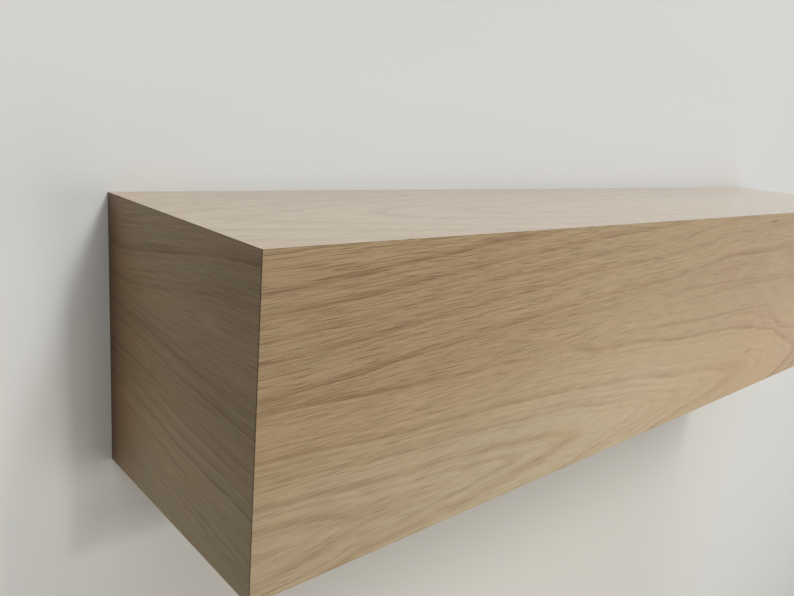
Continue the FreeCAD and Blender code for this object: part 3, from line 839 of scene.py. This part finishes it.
def soften(piece):
    """Smooth shading that keeps the edges sharper than an angle."""
    sharp = math.radians(34)
    shape = bmesh.new()
    shape.from_mesh(piece.data)
    for face in shape.faces:
        face.smooth = True
    for edge in shape.edges:
        edge.smooth = len(edge.link_faces) == 2 and edge.calc_face_angle() < sharp
    shape.to_mesh(piece.data)
    shape.free()


def fastenings():
    """The screws of the rail and the batten, and the felt pads on the wall side."""
    group = row_tree()
    screw = wood_screw()
    pad = felt_pad()
    zinc = yellow_zinc()
    felt = pressed_felt()
    one_row = {"Pitch": RIB_PITCH, "Rows": 1, "Rise": 0.0}
    screws = {**one_row, "Part": screw, "Columns": SCREW_COLUMNS, "Turn": 1.5}
    rail = {**screws, "Start": (-RIB_PITCH, REAR_FACE, RAIL_SCREW_LEVEL), "Rows": 2,
            "Rise": RAIL_SCREW_RISE, "Seed": 4}
    batten = {**screws, "Start": (-RIB_PITCH, REAR_FACE, BATTEN_SCREW_LEVEL), "Seed": 9}
    pads = {**one_row, "Part": pad, "Columns": PAD_COLUMNS, "Turn": 6.0,
            "Start": (-1.5 * RIB_PITCH, 0.0, PAD_LEVEL), "Seed": 2}
    for name, node, slot, inputs, finish in (
            ("rail_screws", "hanging_rail_screws", "screw_steel", rail, zinc),
            ("batten_screws", "spacer_batten_screws", "screw_steel", batten, zinc),
            ("felt_pads", "wall_pads", "felt", pads, felt)):
        piece = set_in_rows(name, group, inputs, finish)
        soften(piece)
        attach(piece, "shelf")
        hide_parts(node)
    for part in (screw, pad):
        bpy.data.objects.remove(part)


# ---------------------------------------------------------------------------
# Finishes of the boards and leaves


def give(node, material):
    """Puts a material on a node of the model."""
    mesh = frame["nodes"][node].data
    mesh.materials.clear()
    mesh.materials.append(material)


def dress_boards():
    """Gives every board, leaf, block and biscuit its finish."""
    give("front_veneer", front_oak())
    give("top_veneer", flat_oak("oak_top", TOP_LEAF, SHELF_TOP, 1))
    give("bottom_veneer", flat_oak("oak_bottom", BOTTOM_LEAF, SHELF_BOTTOM, -1))
    give("left_end_veneer", end_oak("oak_left_end", END_LEAF, -1))
    give("right_end_veneer", end_oak("oak_right_end", RIGHT_END_LEAF, 1))
    # node: name of the finish, axis of the plies, start, thickness, axis of the grain, seed
    boards = {
        "top_core": ("ply_top", 2, 89.0, 17.4, 0, 3.0),
        "bottom_core": ("ply_bottom", 2, -92.4, 17.4, 0, 5.0),
        "front_core": ("ply_front", 1, -199.4, 17.4, 0, 7.0),
        "left_end_core": ("ply_left_end", 0, -499.4, 17.4, 1, 9.0),
        "right_end_core": ("ply_right_end", 0, 482.0, 17.4, 1, 11.0),
        "back_panel": ("ply_back", 1, -32.0, 12.0, 0, 13.0),
        "hanging_rail": ("ply_rail", 1, -20.0, 18.0, 0, 15.0),
        "spacer_batten": ("ply_batten", 1, -20.0, 18.0, 0, 17.0),
        "wall_cleat": ("ply_cleat", 1, -18.0, 18.0, 0, 19.0),
        "left_rib": ("ply_left_rib", 0, -257.5, 15.0, 1, 21.0),
        "middle_rib": ("ply_middle_rib", 0, -7.5, 15.0, 1, 23.0),
        "right_rib": ("ply_right_rib", 0, 242.5, 15.0, 1, 25.0),
    }
    for node, board in boards.items():
        give(node, plywood(*board))
    blocks = pine()
    biscuits = pressed_beech()
    for node in ("top_glue_blocks", "bottom_glue_blocks"):
        give(node, blocks)
    for node in ("top_front_biscuits", "bottom_front_biscuits",
                 "left_end_biscuits", "right_end_biscuits"):
        give(node, biscuits)


# ---------------------------------------------------------------------------
# Wall, floor, lamps and camera

# the wall's white with painted tints of light: cooler light above the shelf, warmer light below it
WALL_COLOURS = {"left": paint(226, 225, 221), "above": paint(223, 226, 227),
                "below": paint(226, 223, 215)}
FLOOR_COLOURS = (paint(219, 216, 209), paint(225, 222, 215))
FLOOR_LEVEL = -1.2
ROOM = 9.0
CLEAR_FROM, CLEAR_AT = 1.6, 4.2
SHELF_MIDDLE = (0.0, -0.1, 0.0)


def plain_plane(name, corners, colour, fade=None):
    """A plane of the room, painted on its face only, so the shelf can be seen from behind.

    Some metres from the shelf, from CLEAR_FROM to CLEAR_AT, it clears into the pale air, so
    that it has no edge and no horizon. colour is given the tree and the object coordinates
    in millimetres. A plane with a fade, a pair of Y in millimetres, clears between them too.
    """
    material, tree = new_finish(name)
    place = place_in_mm(tree)
    coordinates = tree.add("ShaderNodeTexCoord", None, None, output="Object")
    reach = tree.add("ShaderNodeVectorMath", {"operation": "LENGTH"}, {"Vector": coordinates},
                     output="Value")
    behind = tree.add("ShaderNodeNewGeometry", None, None, output="Backfacing")
    clearing = tree.math("MAXIMUM", behind, tree.step(reach, CLEAR_FROM, CLEAR_AT))
    if fade is not None:
        clearing = tree.math("MAXIMUM", clearing, tree.step(place[1], *fade))
    painted = tree.add("ShaderNodeBsdfPrincipled", None,
                       {"Base Color": colour(tree, *place), "Roughness": 1.0,
                        "Specular IOR Level": 0.0, "Diffuse Roughness": 0.6})
    clear = tree.add("ShaderNodeBsdfTransparent")
    shader = tree.add("ShaderNodeMixShader", None, {0: clearing, 1: painted, 2: clear})
    tree.add("ShaderNodeOutputMaterial", None, {"Surface": shader}, output=None)
    shape = bmesh.new()
    shape.faces.new([shape.verts.new(corner) for corner in corners])
    plane = mesh_object(name, shape)
    plane.data.materials.append(material)


def wall_paint_and_light_tint(tree, x, _y, z):
    """White paint with painted tints of light: cooler above the shelf and warmer below it."""
    beside = tree.hump(x, -620.0, -380.0, 300.0, 900.0)
    height = tree.step(z, -150.0, 100.0)
    faded = tree.step(z, 120.0, 520.0, 1.0, 0.35)
    over_and_under = tree.blend(height, WALL_COLOURS["below"], WALL_COLOURS["above"])
    return tree.blend(beside * faded, WALL_COLOURS["left"], over_and_under)


def floor_paint(tree, x, y, _z):
    """Pale grey screed, faintly clouded."""
    cloud = tree.marks(x, 700, y, 700, 1.0, detail=2.0)
    return tree.blend(cloud, *FLOOR_COLOURS)


def room():
    """A pale wall just behind the shelf and a pale floor below it."""
    gap = 0.0003
    wall = [(-ROOM, gap, FLOOR_LEVEL), (ROOM, gap, FLOOR_LEVEL), (ROOM, gap, ROOM), (-ROOM, gap, ROOM)]
    floor = [(-ROOM, -ROOM, FLOOR_LEVEL), (ROOM, -ROOM, FLOOR_LEVEL),
             (ROOM, gap, FLOOR_LEVEL), (-ROOM, gap, FLOOR_LEVEL)]
    plain_plane("room_wall", wall, wall_paint_and_light_tint)
    plain_plane("room_floor", floor, floor_paint, fade=(-1200.0, -50.0))


def lamp(name, place, aim, size, power):
    """A soft rectangular lamp that leaves no bright patch in the lacquer."""
    data = bpy.data.lights.new(name, "AREA")
    data.shape = "RECTANGLE"
    data.size, data.size_y = size
    data.energy = power
    made = bpy.data.objects.new(name, data)
    made.location = place
    made.rotation_euler = (Vector(aim) - Vector(place)).to_track_quat("-Z", "Y").to_euler()
    made.visible_camera = False
    made.visible_glossy = False
    bpy.context.scene.collection.objects.link(made)
    return made


def light_from(name, turn, rise, size, power):
    """A lamp five metres from the shelf, from a turn and a rise in degrees.

    turn is counted from straight ahead of the shelf towards its right.
    """
    distance = 5.0
    turn = math.radians(turn)
    rise = math.radians(rise)
    level = math.cos(rise) * distance
    _, middle_y, _ = SHELF_MIDDLE
    place = (math.sin(turn) * level, middle_y - math.cos(turn) * level, math.sin(rise) * distance)
    lamp(name, place, SHELF_MIDDLE, size, power)


def pieces_but(name, *left_out):
    """A collection of the pieces and planes whose names hold none of some words."""
    kept = bpy.data.collections.new(name)
    for piece in bpy.context.scene.objects:
        if piece.type == "MESH" and not any(word in piece.name for word in left_out):
            kept.objects.link(piece)
    return kept


def light_the_room():
    """Key lamps high at the right, smaller ones ahead, soft light from the room, a rear lamp."""
    light_from("key_tall", turn=16, rise=48, size=(0.6, 1.2), power=58.4)
    light_from("key_broad", turn=38, rise=50, size=(2.5, 2.5), power=42.2)
    light_from("ahead_small", turn=3, rise=18, size=(0.3, 0.3), power=28.0)
    light_from("ahead_soft", turn=0, rise=14, size=(0.5, 0.5), power=20.3)
    light_from("ahead_low", turn=5, rise=0, size=(0.6, 0.6), power=20.0)
    lamp("room_ahead", (2.1, -6.0, -1.15), SHELF_MIDDLE, size=(3.0, 3.0), power=61.5)
    lamp("ceiling", (0.3, -0.6, 3.5), SHELF_MIDDLE, size=(1.5, 1.5), power=46.6)
    light_from("room_side", turn=-12, rise=5, size=(2.0, 2.0), power=19.0)
    lamp("room_left", (-0.9, -1.7, 1.6), (-0.7, 0.0, 0.0), size=(1.2, 1.2), power=7.9)

    # the rear lamp serves the parts behind the veneer and shines through the wall
    rear = lamp("rear_fill", (-0.7, 1.5, 1.0), (0.0, 0.0, 0.0), size=(1.6, 1.0), power=24.0)
    rear.visible_glossy = True
    rear.light_linking.receiver_collection = pieces_but("rear_served", "veneer", "room_")
    rear.light_linking.blocker_collection = pieces_but("rear_blocking", "room_")


def light_the_air():
    """A dim even world; a look or a reflection past the room meets a pale grey."""
    world = bpy.data.worlds.new("room_air")
    world.use_nodes = True
    tree = Tree(world.node_tree)
    tree.nodes.clear()
    path = tree.nodes.new("ShaderNodeLightPath").outputs
    seen = tree.math("MAXIMUM", Value(tree, path["Is Camera Ray"]), Value(tree, path["Is Glossy Ray"]))
    dim = tree.add("ShaderNodeBackground", None, {"Color": grey(1.0), "Strength": 0.022})
    pale = tree.add("ShaderNodeBackground", None, {"Color": paint(218, 218, 216), "Strength": 0.92})
    shader = tree.add("ShaderNodeMixShader", None, {0: seen, 1: dim, 2: pale})
    tree.add("ShaderNodeOutputWorld", None, {"Surface": shader}, output=None)
    bpy.context.scene.world = world


def stand_the_camera():
    """A camera beyond the left end, a little above the top, which looks to the right."""
    data = bpy.data.cameras.new("camera")
    data.sensor_fit = "HORIZONTAL"
    data.sensor_width = 36.0
    data.lens = 32.271
    camera = bpy.data.objects.new("camera", data)
    camera.location = (-0.678004, -0.490265, 0.175499)
    camera.rotation_euler = [math.radians(turn) for turn in (75.40856, -4.88995, -41.44375)]
    bpy.context.scene.collection.objects.link(camera)
    bpy.context.scene.camera = camera


dress_boards()
fastenings()
room()
light_the_room()
light_the_air()
stand_the_camera()
bpy.context.scene.view_settings.view_transform = "Standard"
